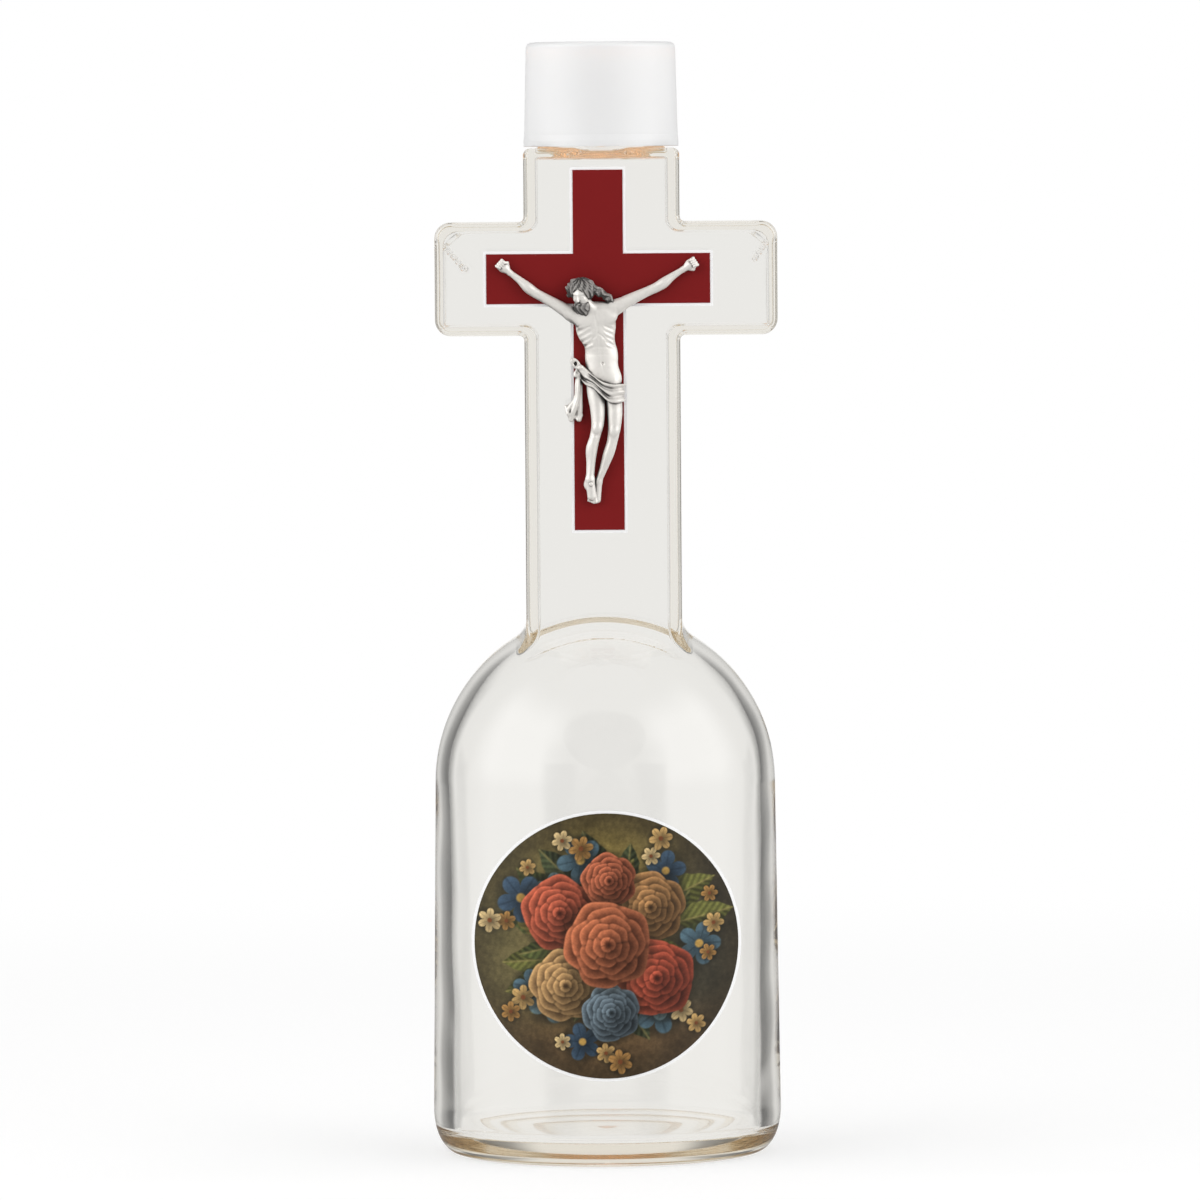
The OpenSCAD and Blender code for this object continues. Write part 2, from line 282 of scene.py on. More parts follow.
# Glass that has gathered in the same corners: its place from the arms' middle and its height, and its reach
GATHER_X = 26.4
GATHER_Z = 157.2
GATHER_W = 1.7
GATHER_R = 1.5
UPPER_CORNER_R = 2.2
UPPER_FADE = 4


def flow_marks(x, y, z):
    """Lumpy folds on the inside of the front of the arms, one of them with a drop at its end."""
    front = smooth((-y - FOLD_Y) / 1.0)
    marks = FOLD_DROP * bump(hypot(x - FOLD_END[0], z - FOLD_END[1]), FOLD_DROP_R)
    for (x0, z0), (x1, z1), height in FOLDS:
        run = ((x - x0) * (x1 - x0) + (z - z0) * (z1 - z0)) / math.hypot(x1 - x0, z1 - z0)
        lumps = 1 + 0.5 * np.sin(5.6 * run) + 0.4 * np.sin(8.9 * run + 1)
        marks = marks + height * lumps * bump(seg(x, 0, z, (x0, 0, z0, 0), (x1, 0, z1, 0)), FOLD_W)
    return front * marks


def glass(x, y, z):
    r = hypot(x, y)
    cross_out = cross_form(x, y, z, 0, 0, 0, NECK_TOP_Z, EDGE_R, CORNER_R, SHOULDER_R, INNER_CORNER_R)
    outside = round_join(body_outside(r, z), cross_out, SEAM_OUT_R)
    tube = np.maximum(round_cut(r - ROOT_R, z - MOUTH_TOP_Z, LIP_R), TUBE_FROM_Z - z)
    outside = round_join(outside, tube, TUBE_FILLET)
    outside = round_join(outside, thread(x, y, z, r), THREAD_FILLET)
    upper = smooth((z - ARM_Z) / UPPER_FADE)
    thick = bump(hypot(np.abs(x - ARM_X) - GATHER_X, z - GATHER_Z), GATHER_W)
    cross_in = cross_form(x, y, z, NECK_WALL, ARM_WALL, ARM_END_WALL, NECK_TOP_Z - SHOULDER_T,
                          CAVITY_R + GATHER_R * thick, CAVITY_R + UPPER_CORNER_R * upper,
                          CAVITY_R, CAVITY_INNER_R)
    inside = round_join(body_inside(r, z), cross_in, SEAM_IN_R) + waves(x, y, z) + flow_marks(x, y, z)
    bore = np.maximum(r - MOUTH_R, BORE_FROM_Z - z)
    inside = round_join(inside, bore, BORE_FILLET)
    return round_cut(outside, -inside, LIP_R)


# Node helpers

def material(name):
    made = bpy.data.materials.new(name)
    made.use_nodes = True
    tree = made.node_tree
    return made, tree, tree.nodes["Principled BSDF"]


def node(tree, kind, **values):
    made = tree.nodes.new(kind)
    for key, value in values.items():
        if key in made.inputs:
            made.inputs[key].default_value = value
        else:
            setattr(made, key, value)
    return made


def calc(tree, operation, *terms):
    made = tree.nodes.new("ShaderNodeMath")
    made.operation = operation
    for k, term in enumerate(terms):
        if isinstance(term, (int, float)):
            made.inputs[k].default_value = term
        else:
            tree.links.new(term, made.inputs[k])
    return made.outputs[0]


def ramp(tree, value, low, high, to_low=0.0, to_high=1.0):
    made = tree.nodes.new("ShaderNodeMapRange")
    made.interpolation_type = "SMOOTHSTEP"
    tree.links.new(value, made.inputs["Value"])
    for name, number in (("From Min", low), ("From Max", high), ("To Min", to_low), ("To Max", to_high)):
        made.inputs[name].default_value = number
    return made.outputs["Result"]


def to_linear(colour):
    """Linear light from eight-bit colour values."""
    v = np.asarray(colour) / 255
    return np.where(v <= 0.04045, v / 12.92, ((v + 0.055) / 1.055) ** 2.4)


def clear_glass():
    made, tree, shader = material("clear_glass")
    shader.inputs["Base Color"].default_value = (1, 1, 1, 1)
    shader.inputs["Transmission Weight"].default_value = 1.0
    shader.inputs["IOR"].default_value = 1.5
    shader.inputs["Roughness"].default_value = 0.0
    tint = node(tree, "ShaderNodeVolumeAbsorption", Color=(0.68, 0.5, 0.16, 1), Density=5.0)
    tree.links.new(tint.outputs[0], tree.nodes["Material Output"].inputs["Volume"])
    return made


def glass_axes(quick):
    """Mesh lines, closer along the edges of the cross, at its foot, in the mouth and in the base."""
    step, fine, mid = (0.9, 0.5, 0.7) if quick else (0.62, 0.17, 0.32)
    out = 0.35
    into = 0.5
    seam = (84.5, 93.0)
    folds = (1.2, 5.2)
    arm_end = 23.6
    edges_x = [(NECK_HALF_W - NECK_WALL - into, NECK_HALF_W + out, fine),
               (arm_end, ARM_HALF_SPAN + ARM_X + out, fine)]
    edges_y = [(NECK_HALF_D - NECK_WALL - into, NECK_HALF_D + out, fine)]
    edges_z = [(-0.1, 8.0, mid), (*seam, fine), (MOUTH_TOP_Z - 15, MOUTH_TOP_Z + 0.3, mid),
               (ARM_Z - ARM_HALF_H - out, ARM_Z - ARM_HALF_H + NECK_WALL + into, fine),
               (ARM_Z + folds[0], ARM_Z + folds[1], 1.5 * fine),
               (ARM_Z + folds[1], ARM_Z + ARM_HALF_H + out, fine),
               (NECK_TOP_Z - SHOULDER_T - 0.4, NECK_TOP_Z + 0.3, fine)]
    both_x = edges_x + [(-b, -a, s) for a, b, s in edges_x]
    both_y = edges_y + [(-b, -a, s) for a, b, s in edges_y]
    return spaced(-31, 31, step, both_x), spaced(-31, 31, step, both_y), spaced(-1, 189, step, edges_z)


bottle = surface("bottle_glass", glass, glass_axes(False))[0]
bottle.data.materials.append(clear_glass())
bottle.visible_shadow = False
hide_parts("glass_bottle")
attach(bottle, "bottle")


# The figure on the cross. It is drawn from the middle of the crossbar: x across, h out from the print, z up.

PRINT_FRONT = NECK_HALF_D + FILM_GAP + 2 * FILM_T


def chain(x, h, z, balls, k=0.05):
    d = seg(x, h, z, balls[0], balls[1])
    for a, b in zip(balls[1:], balls[2:]):
        d = blend(d, seg(x, h, z, a, b), k)
    return d


def eased(t, places, values):
    """A smooth curve through values at the given places."""
    rate = np.gradient(values, places)
    k = np.clip(np.searchsorted(places, t, side="right") - 1, 0, len(places) - 2)
    gap = places[k + 1] - places[k]
    u = (t - places[k]) / gap
    v = 1 - u
    start = v * v * ((1 + 2 * u) * values[k] + u * gap * rate[k])
    return start + u * u * ((1 + 2 * v) * values[k + 1] - v * gap * rate[k + 1])


def limb(along_it, across, h, knots):
    """A limb or fold that runs along one direction; knots are [along, across, lift, radius]."""
    places, sides, lifts, radii = np.array(knots, float).T
    t = np.clip(along_it, places[0], places[-1])
    side, lift, radius = (eased(t, places, v) for v in (sides, lifts, radii))
    return 0.92 * (hypot(across - side, h - lift, along_it - t) - radius)


def egg(x, h, z, middle, radii):
    u, v, w = ((p - c) / r for p, c, r in zip((x, h, z), middle, radii))
    k = hypot(u, v, w)
    return k * (k - 1) / (hypot(u / radii[0], v / radii[1], w / radii[2]) + 1e-9)


def hand(x, h, z, wrist, palm):
    """A loosely closed hand with a nail head in its palm."""
    along_x, along_z = palm[0] - wrist[0], palm[2] - wrist[2]
    size = math.hypot(along_x, along_z)
    ux, uz = along_x / size, along_z / size
    nx, nz = -uz, ux

    def place(forward, across, lift, r):
        return (palm[0] + forward * ux + across * nx, lift, palm[2] + forward * uz + across * nz, r)

    d = blend(seg(x, h, z, wrist, place(-0.3, 0, 0.8, 0.62)), egg(x, h, z, palm[:3], (0.95, 0.55, 0.95)), 0.5)
    for across in (-0.66, -0.22, 0.22, 0.66):
        finger = (place(0.5, across, 0.75, 0.27), place(0.95, across, 1.1, 0.25),
                  place(0.62, 0.9 * across, 1.5, 0.23), place(0.3, 0.85 * across, 1.45, 0.2))
        d = blend(d, chain(x, h, z, finger, 0.1), 0.12)
    thumb = (place(-0.5, -0.6, 0.8, 0.3), place(-0.05, -0.95, 1.1, 0.27), place(0.35, -0.7, 1.4, 0.22))
    d = blend(d, chain(x, h, z, thumb), 0.15)
    return blend(d, egg(x, h, z, place(-0.2, 0.1, 1.3, 0)[:3], (0.3, 0.22, 0.3)), 0.08)


ARM_KNOTS = ((-0.6, 0.0, 1.05, 1.15), (1.4, 0.0, 1.1, 1.08), (3.4, -0.1, 1.05, 0.94),
             (5.2, -0.25, 0.95, 0.83), (7.1, -0.42, 0.92, 0.84), (8.4, -0.38, 0.94, 0.9),
             (10.4, -0.12, 0.86, 0.62), (12.4, 0.0, 0.8, 0.46))
ARM_LENGTH = ARM_KNOTS[-1][0]
LEFT_SHOULDER = (-4.7, -6.0)
LEFT_WRIST = (-15.0, 1.1)
RIGHT_SHOULDER = (3.4, -4.7)
RIGHT_WRIST = (14.5, 1.5)
LEFT_HAND = (-16.1, 0.75, 2.1)
RIGHT_HAND = (15.75, 0.75, 2.3)
HIPS = ((0.8, 0.6, -17.0), (3.1, 1.45, 2.7))
LEFT_LEG = ((17.0, -0.6, 0.6, 1.6), (19.5, -0.5, 1.05, 1.52), (22.5, -0.2, 1.5, 1.27),
            (25.2, -0.3, 1.75, 1.03), (26.8, -0.7, 1.7, 0.92), (28.5, -1.2, 1.55, 1.0),
            (31.5, -1.45, 1.4, 0.76), (34.0, -1.6, 1.4, 0.66))
RIGHT_LEG = ((17.5, 2.3, 0.6, 1.5), (20.0, 2.5, 0.95, 1.42), (23.2, 2.65, 1.3, 1.3),
             (25.8, 2.55, 1.5, 1.04), (27.5, 2.25, 1.4, 0.92), (29.6, 1.65, 1.25, 0.98),
             (32.2, 0.75, 1.0, 0.74), (34.5, -0.2, 0.85, 0.62))


def arm(x, h, z, shoulder, wrist, hand_at):
    span = math.hypot(wrist[0] - shoulder[0], wrist[1] - shoulder[1])
    ux = (wrist[0] - shoulder[0]) / span
    uz = (wrist[1] - shoulder[1]) / span
    u = ux * (x - shoulder[0]) + uz * (z - shoulder[1])
    v = np.sign(ux) * (ux * (z - shoulder[1]) - uz * (x - shoulder[0]))
    d = limb(u * ARM_LENGTH / span, v, h, ARM_KNOTS)
    return blend(d, hand(x, h, z, (wrist[0], 0.8, wrist[1], 0.48), hand_at), 0.25)


def skin(x, h, z):
    """Trunk, shoulders, arms and neck, with ribs, breastbone, belly and navel drawn into the front."""
    middle = -0.55 - 0.136 * (z + 5.5)
    s = x - middle
    chest = egg(x, h, z, (-0.45, 0.8, -8.0), (3.4, 1.75, 3.9))
    belly = egg(x, h, z, (0.5, 0.65, -13.4), (2.8, 1.5, 4.2))
    d = blend(blend(chest, belly, 1.4), egg(x, h, z, *HIPS), 1.2)
    d = blend(d, seg(x, h, z, (-4.6, 1.0, -5.9, 1.1), (3.2, 1.0, -4.7, 1.1)), 1.0)
    d = blend(d, egg(x, h, z, (-2.3, 1.85, -7.0), (1.85, 0.75, 1.25)), 0.9)
    d = blend(d, egg(x, h, z, (1.35, 1.85, -6.4), (1.85, 0.75, 1.25)), 0.9)
    trunk = smooth((-5.6 - z) / 0.8) * smooth((z + 16.5) / 0.8) * smooth((h - 0.6) / 0.8)
    ribs = smooth((-7.6 - z) / 0.6) * smooth((z + 12.2) / 0.8) * smooth((np.abs(s) - 0.8) / 0.5)
    d = d + trunk * ribs * 0.038 * np.sin(2 * math.pi * (z + 0.5 * np.abs(s)) / 0.95)
    d = d + trunk * 0.06 * bump(s, 0.28)
    d = d + trunk * 0.08 * bump(z + 9.2 + 0.95 * np.abs(s), 0.3) * bump(s, 2.2)
    d = d + trunk * 0.035 * (bump(z + 11.6, 0.2) + bump(z + 12.9, 0.2)) * bump(s, 1.1)
    d = d + trunk * 0.22 * bump(hypot(s, z + 14.4), 0.24)
    d = blend(d, arm(x, h, z, LEFT_SHOULDER, LEFT_WRIST, LEFT_HAND), 0.7)
    d = blend(d, arm(x, h, z, RIGHT_SHOULDER, RIGHT_WRIST, RIGHT_HAND), 0.7)
    return blend(d, seg(x, h, z, (-1.3, 1.5, -5.1, 1.0), (-2.2, 2.1, -3.8, 0.9)), 0.6)


def legs(x, h, z):
    """Both legs with their knees, and the feet one over the other under a nail head."""
    left = limb(-z, x, h, LEFT_LEG)
    left = blend(left, egg(x, h, z, (-0.3, 2.55, -25.4), (0.68, 0.4, 0.8)), 0.45)
    left = blend(left, seg(x, h, z, (-0.8, 2.3, -27.0, 0.26), (-1.5, 1.85, -33.2, 0.18)), 0.5)
    right = limb(-z, x, h, RIGHT_LEG)
    right = blend(right, egg(x, h, z, (2.55, 2.25, -25.9), (0.68, 0.38, 0.78)), 0.45)
    right = blend(right, seg(x, h, z, (-0.2, 0.8, -34.5, 0.66), (-0.4, 0.6, -37.6, 0.62)), 0.4)
    foot = blend(seg(x, h, z, (-1.6, 1.45, -34.2, 0.76), (-1.3, 1.1, -37.0, 0.78)), left, 0.5)
    foot = blend(foot, egg(x, h, z, (-1.95, 0.9, -35.0), (0.72, 0.7, 0.95)), 0.4)
    for k in range(5):
        toe = (-1.9 + 0.32 * k, 1.05, -38.05 + 0.09 * abs(k - 3), 0.3 - 0.035 * (4 - k))
        ball = (-1.7 + 0.2 * k, 1.15, -36.9, 0.3)
        foot = blend(foot, seg(x, h, z, ball, toe), 0.1)
    foot = blend(foot, egg(x, h, z, (-1.45, 2.25, -34.9), (0.36, 0.26, 0.36)), 0.06)
    return blend(foot, right, 0.12)


CLOTH_X = np.array((-3.6, -2.4, -1.0, 0.4, 1.6, 4.8))
CLOTH_TOP = np.array((-14.7, -15.4, -16.4, -17.4, -17.85, -17.9))
CLOTH_HEM = np.array((-16.4, -17.9, -18.6, -19.8, -20.85, -20.9))


def wrap(x, h, z):
    """The cloth round the hips: a slanting band of folds that gathers toward the knot."""
    thighs = blend(limb(-z, x, h, LEFT_LEG), limb(-z, x, h, RIGHT_LEG), 2.0)
    body = blend(thighs, egg(x, h, z, *HIPS), 1.0)
    at = np.clip(x, CLOTH_X[0], CLOTH_X[-1])
    top = eased(at, CLOTH_X, CLOTH_TOP)
    hem = eased(at, CLOTH_X, CLOTH_HEM)
    v = (z - hem) / (top - hem)
    front = smooth((h - 0.3) / 1.0)
    folds = 0.13 * np.sin(2 * math.pi * (2.4 * v + 0.12 * np.sin(1.3 * x))) + 0.05 * np.sin(9 * v + 2.2 * x)
    rolls = 0.16 * bump(v - 0.04, 0.1) + 0.14 * bump(v - 0.95, 0.1)
    return round_cut(0.8 * (body - 0.38 - front * (folds + rolls)), 0.8 * np.maximum(z - top, hem - z), 0.14)


def loop(x, h, z, middle, radius, tube, tilt):
    """A loop of the bow, longer than wide and a little uneven, with a hollow in its middle."""
    u = math.cos(tilt) * (x - middle[0]) + math.sin(tilt) * (z - middle[2])
    v = math.cos(tilt) * (z - middle[2]) - math.sin(tilt) * (x - middle[0])
    u = u / 1.25
    v = v / 0.8
    turn = np.arctan2(v, u)
    band = 0.85 * (hypot(hypot(u, v) - radius, h - middle[1]) - tube * (1 + 0.16 * np.sin(2 * turn + 1)))
    return np.minimum(band, egg(x, h, z, (middle[0], 0.5, middle[2]), (radius, 0.45, radius)))


def cloth(x, h, z):
    """The wrap, its knot and bow at the left hip, and the ends that hang from it."""
    d = blend(wrap(x, h, z), seg(x, h, z, (-3.2, 1.4, -15.1, 0.55), (-1.9, 1.5, -16.4, 0.75)), 0.25)
    bow = blend(loop(x, h, z, (-3.95, 1.25, -14.45), 0.6, 0.34, 2.2),
                loop(x, h, z, (-3.5, 1.2, -15.9), 0.5, 0.32, 0.9), 0.15)
    d = blend(d, blend(bow, egg(x, h, z, (-3.1, 1.7, -15.1), (0.55, 0.5, 0.45)), 0.15), 0.12)
    ends = ((-3.5, -3.75, -4.0, -4.8, -5.3), (-3.35, -3.4, -3.65, -4.25, -4.65),
            (-3.2, -3.1, -3.15, -3.3, -3.35))
    for k, across in enumerate(ends):
        heights = (15.7, 18.0, 20.4, 21.7 + 0.6 * min(k, 1), 22.6 + 1.3 * min(k, 1))
        lifts = (0.95, 0.95 + 0.3 * (k % 2), 0.9 + 0.3 * (k % 2), 0.9 + 0.3 * (k % 2), 0.8)
        radii = (0.34, 0.34, 0.38, 0.52, 0.4)
        d = blend(d, limb(-z, x, h, tuple(zip(heights, across, lifts, radii))), 0.2)
    for middle, radii in (((-4.75, 0.5, -22.3), (0.85, 0.5, 1.2)), ((-3.8, 0.5, -22.8), (0.75, 0.5, 1.3))):
        d = blend(d, egg(x, h, z, middle, radii), 0.3)
    edge = chain(x, h, z, ((-5.65, 0.75, -21.7, 0.26), (-5.25, 1.2, -22.9, 0.28), (-4.8, 0.85, -23.9, 0.32),
                           (-4.2, 0.7, -23.4, 0.28), (-3.5, 1.1, -23.9, 0.32), (-3.0, 0.9, -23.2, 0.26)), 0.2)
    return blend(d, edge, 0.25)


# The head bows forward and leans to the left. In its own axes a is across, b is forward and c is up.
HEAD = np.array((-2.75, 2.25, -2.55))
HEAD_SIZE = 1.1
HEAD_UP = np.array((-0.14, 0.3, 0.93))
HEAD_UP /= np.linalg.norm(HEAD_UP)
HEAD_ACROSS = np.cross(np.array((-0.4, 0.9, 0.0)), HEAD_UP)
HEAD_ACROSS /= np.linalg.norm(HEAD_ACROSS)
HEAD_FORWARD = np.cross(HEAD_UP, HEAD_ACROSS)


def head(x, h, z):
    """The face, the beard and the hair, as three fields."""
    p = ((x - HEAD[0]) / HEAD_SIZE, (h - HEAD[1]) / HEAD_SIZE, (z - HEAD[2]) / HEAD_SIZE)
    a, b, c = (sum(q * v for q, v in zip(p, axis)) for axis in (HEAD_ACROSS, HEAD_FORWARD, HEAD_UP))
    side = np.abs(a)
    face = egg(a, b, c, (0, -0.15, 0.45), (1.42, 1.6, 1.6))
    face = blend(face, egg(a, b, c, (0, 0.5, -0.6), (1.1, 1.15, 1.6)), 0.5)
    face = blend(face, seg(side, b, c, (0, 1.48, 0.42, 0.16), (0.7, 1.2, 0.4, 0.14)), 0.25)
    face = blend(face, seg(a, b, c, (0, 1.5, 0.3, 0.15), (0, 1.88, -0.5, 0.22)), 0.2)
    face = blend(face, egg(side, b, c, (0.48, 1.35, 0.02), (0.27, 0.17, 0.15)), 0.08)
    face = blend(face, egg(side, b, c, (0.6, 1.1, -0.45), (0.4, 0.4, 0.4)), 0.3)
    face = blend(face, seg(side, b, c, (0, 1.62, -1.1, 0.12), (0.24, 1.52, -1.1, 0.09)), 0.1)

    comb = 0.08 * np.sin(9 * a + 2 * np.sin(2.6 * c)) * bump(a, 1.1)
    beard = egg(a, b, c, (0, 0.8, -1.75), (1.3, 0.95, 1.2))
    beard = blend(beard, egg(side, b, c, (0.42, 0.85, -2.6), (0.6, 0.62, 0.8)), 0.2) + comb
    moustache = ((0.05, 1.6, -0.85, 0.15), (0.4, 1.45, -1.05, 0.18), (0.75, 1.15, -1.5, 0.2))
    beard = blend(beard, chain(side, b, c, moustache), 0.12)

    turn = np.arctan2(a, b + 0.3)
    comb = 0.1 * np.sin(12 * turn + 2.4 * np.sin(1.9 * c + 0.7 * turn)) + 0.035 * np.sin(31 * turn + 5 * c)
    hair = egg(a, b, c, (0, -0.3, 0.6), (1.98, 1.8, 1.85)) + comb
    hair = np.maximum(hair, 0.86 * b - 0.5 * c - 0.52 - 0.3 * side)
    return tuple(HEAD_SIZE * d for d in (face, beard, hair))


def locks(x, h, z):
    """The hair that falls on the shoulders."""
    right = chain(x, h, z, ((-1.5, 2.1, -1.0, 0.85), (-0.4, 2.0, -2.0, 0.78), (0.7, 1.85, -2.5, 0.7),
                            (1.6, 1.7, -3.1, 0.62), (2.4, 1.55, -4.0, 0.4)), 0.2)
    right = right + 0.13 * np.sin(6 * (0.6 * x + 0.8 * z) + 1.6 * np.sin(2.2 * (x - z)))
    left = chain(x, h, z, ((-4.0, 2.0, -0.9, 0.95), (-4.6, 1.85, -1.7, 0.9), (-4.75, 1.6, -2.6, 0.6)), 0.3)
    left = left + 0.09 * np.sin(6.5 * (0.5 * x + 0.8 * z) + 1.5 * np.sin(2.4 * x))
    return np.minimum(right, left)


FIGURE_REACH = 1.5


def figure(x, y, z):
    """The whole figure; what lies more than its reach above or below the given heights is left out."""
    x = x - LABEL_X
    h = -y - PRINT_FRONT
    z = z - ARM_Z
    low = z.min() - FIGURE_REACH
    high = z.max() + FIGURE_REACH
    d = np.full(np.broadcast(x, h, z).shape, 3.0)
    if high > -21:
        d = blend(d, skin(x, h, z), 0.1)
    if low < -16:
        d = blend(d, legs(x, h, z), 0.15)
    if low < -12 and high > -26:
        d = blend(d, cloth(x, h, z), 0.06)
    if high > -7:
        face, beard, hair = head(x, h, z)
        d = blend(d, blend(blend(face, beard, 0.08), hair, 0.08), 0.1)
        d = blend(d, locks(x, h, z), 0.12)
    return np.maximum(d, -h)


def antique_silver():
    made, tree, shader = material("antique_silver")
    # The attribute holds the patina in the hollows and on the hair, and painted shade on what faces down and
    # to the left
    patina_and_shade_map = node(tree, "ShaderNodeAttribute", attribute_name="open")
    place = node(tree, "ShaderNodeTexCoord")
    noise = node(tree, "ShaderNodeTexNoise", Scale=1400.0, Detail=5.0)
    tree.links.new(place.outputs["Object"], noise.inputs["Vector"])
    spread = calc(tree, "MULTIPLY", calc(tree, "SUBTRACT", noise.outputs["Fac"], 0.5), 0.35)
    free_of_patina_and_shade = calc(tree, "ADD", patina_and_shade_map.outputs["Fac"], spread)
    tint = node(tree, "ShaderNodeValToRGB")
    stops = ((0.22, (0.07, 0.066, 0.062)), (0.45, (0.3, 0.285, 0.27)),
             (0.66, (0.72, 0.69, 0.65)), (0.95, (0.88, 0.85, 0.80)))
    while len(tint.color_ramp.elements) < len(stops):
        tint.color_ramp.elements.new(0.5)
    for stop, (place_at, colour) in zip(tint.color_ramp.elements, stops):
        stop.position = place_at
        stop.color = colour + (1,)
    tree.links.new(free_of_patina_and_shade, tint.inputs[0])
    tree.links.new(tint.outputs[0], shader.inputs["Base Color"])
    tree.links.new(ramp(tree, free_of_patina_and_shade, 0.3, 1.0, 0.62, 0.36), shader.inputs["Roughness"])
    shader.inputs["Metallic"].default_value = 0.25
    rough = node(tree, "ShaderNodeBump", Strength=0.15, Distance=0.00004)
    tree.links.new(noise.outputs["Fac"], rough.inputs["Height"])
    tree.links.new(rough.outputs[0], shader.inputs["Normal"])
    return made


FIGURE_STEP = 0.1
FIGURE_FRONT = -16.8
figure_box = (
    (LABEL_X - 18.5, LABEL_X + 18.2),
    (FIGURE_FRONT, -PRINT_FRONT + 0.2),
    (ARM_Z - 39.6, ARM_Z + 4.6),
)
corpus, spots, facing = surface("corpus_silver", figure, [spaced(a, b, FIGURE_STEP) for a, b in figure_box])


def openness(field, points, normals):
    """How freely each point sees out: near zero in a crease, one on an open surface."""
    found = 0
    for reach in (0.25, 0.6, 1.1):
        out = points + reach * normals
        seen = np.minimum(along(field, out), -out[:, 1] - PRINT_FRONT + 0.15)
        found = found + np.clip(seen / reach, 0, 1) / 3
    return found


def hairy(points):
    """One on the hair and beard, and zero on the rest."""
    share = np.zeros(len(points))
    high = points[:, 2] > ARM_Z - 7
    x, y, z = points[high].T
    x = x - LABEL_X
    h = -y - PRINT_FRONT
    z = z - ARM_Z
    face, beard, hair = head(x, h, z)
    fur = np.minimum(np.minimum(beard, hair), locks(x, h, z))
    share[high] = smooth(0.5 + (np.minimum(face, skin(x, h, z)) - fur) / 0.2)
    return share


# Dark patina in the hollows and on the hair, and painted shade on what faces down and to the left
PATINA = 0.52
PAINTED_UNDERSIDE_SHADE = 0.4
DOWN_LEFT = np.array((-0.45, 0.0, -0.89))
away = facing @ DOWN_LEFT
free_of_patina_and_shade = openness(figure, spots, facing) - PATINA * hairy(spots) - PAINTED_UNDERSIDE_SHADE * smooth((away - 0.3) / 0.6)
corpus.data.attributes.new("open", "FLOAT", "POINT").data.foreach_set("value", free_of_patina_and_shade.astype(np.float32))
corpus.data.materials.append(antique_silver())
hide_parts("corpus")
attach(corpus, "bottle")


# Finishes of the plain pieces

def moulded(name, colour, rough, grain, shine=0.5, soft=False):
    """A plastic or printed surface with a slight mottle in its colour and its gloss."""
    made, tree, shader = material(name)
    place = node(tree, "ShaderNodeTexCoord")
    noise = node(tree, "ShaderNodeTexNoise", Scale=grain, Detail=4.0)
    tree.links.new(place.outputs["Object"], noise.inputs["Vector"])
    tint = node(tree, "ShaderNodeMix", data_type="RGBA")
    tint.inputs[6].default_value = colour
    tint.inputs[7].default_value = tuple(0.93 * c for c in colour[:3]) + (1,)
    tree.links.new(noise.outputs["Fac"], tint.inputs[0])
    tree.links.new(tint.outputs[2], shader.inputs["Base Color"])
    gloss = ramp(tree, noise.outputs["Fac"], 0, 1, rough - 0.06, rough + 0.06)
    tree.links.new(gloss, shader.inputs["Roughness"])
    shader.inputs["Specular IOR Level"].default_value = shine
    if soft:
        shader.inputs["Subsurface Weight"].default_value = 1.0
        shader.inputs["Subsurface Radius"].default_value = (1.0, 1.0, 1.0)
        shader.inputs["Subsurface Scale"].default_value = 0.0006
    return made


def dress(node_name, made):
    piece = bpy.data.objects[node_name]
    piece.data.materials.clear()
    piece.data.materials.append(made)


WHITE_FILM = ((0.95, 0.95, 0.95, 1), 0.4, 400)
RED_PRINT = (*to_linear((124, 26, 27)), 1.0)
dress("screw_cap", moulded("cap_plastic", (0.84, 0.84, 0.84, 1), 0.4, 60, 0.5, True))
dress("cap_liner", moulded("liner_foam", (0.80, 0.76, 0.66, 1), 0.8, 900))


def light_the_inside(piece, share, outer_r, top_z, foot_z=0.0):
    """The light that thin white plastic lets through shows on the inside of a piece as a warm glow."""
    inside = moulded(piece.name + "_inside", (0.87, 0.80, 0.72, 1), 0.5, 60)
    shader = inside.node_tree.nodes["Principled BSDF"]
    shader.inputs["Emission Color"].default_value = (1.0, 0.66, 0.42, 1)
    shader.inputs["Emission Strength"].default_value = share
    piece.data.materials.append(inside)
    place = piece.matrix_world
    for face in piece.data.polygons:
        middle = place @ face.center
        within = math.hypot(middle.x, middle.y) < outer_r * MM and middle.z < top_z * MM
        if within or middle.z < foot_z * MM:
            face.material_index = len(piece.data.materials) - 1


GLOW = 0.35
CAP_INSIDE_R = 12.3
CAP_INSIDE_Z = 190.0
CAP_FOOT_Z = NECK_TOP_Z + 0.4
WHOLE_LINER_R = 20.0
light_the_inside(bpy.data.objects["screw_cap"], GLOW, CAP_INSIDE_R, CAP_INSIDE_Z, CAP_FOOT_Z)
light_the_inside(bpy.data.objects["cap_liner"], GLOW, WHOLE_LINER_R, CAP_INSIDE_Z)
dress("cross_label_backing", moulded("white_film", *WHITE_FILM))
dress("cross_label_print", moulded("red_print", RED_PRINT, 0.55, 300, 0.12))


# The medallion: a white film and a picture on it, both bent round the body

MEDALLION_Z = 37.9
MEDALLION_R = 22.9
MEDALLION_RIM = 0.5
PICTURE_R = MEDALLION_R - MEDALLION_RIM


def disc(count):
    """Points of a round field of quads, as two unit coordinates, and its quads."""
    u, v = np.meshgrid(np.linspace(-1, 1, count), np.linspace(-1, 1, count))
    across = (u * np.sqrt(1 - v * v / 2)).ravel()
    up = (v * np.sqrt(1 - u * u / 2)).ravel()
    k = np.arange(count * count).reshape(count, count)
    quads = np.stack([k[:-1, :-1], k[:-1, 1:], k[1:, 1:], k[1:, :-1]], -1).reshape(-1, 4)
    rim = np.concatenate([k[0, :-1], k[:-1, -1], k[-1, :0:-1], k[:0:-1, 0]])
    return across, up, quads, rim


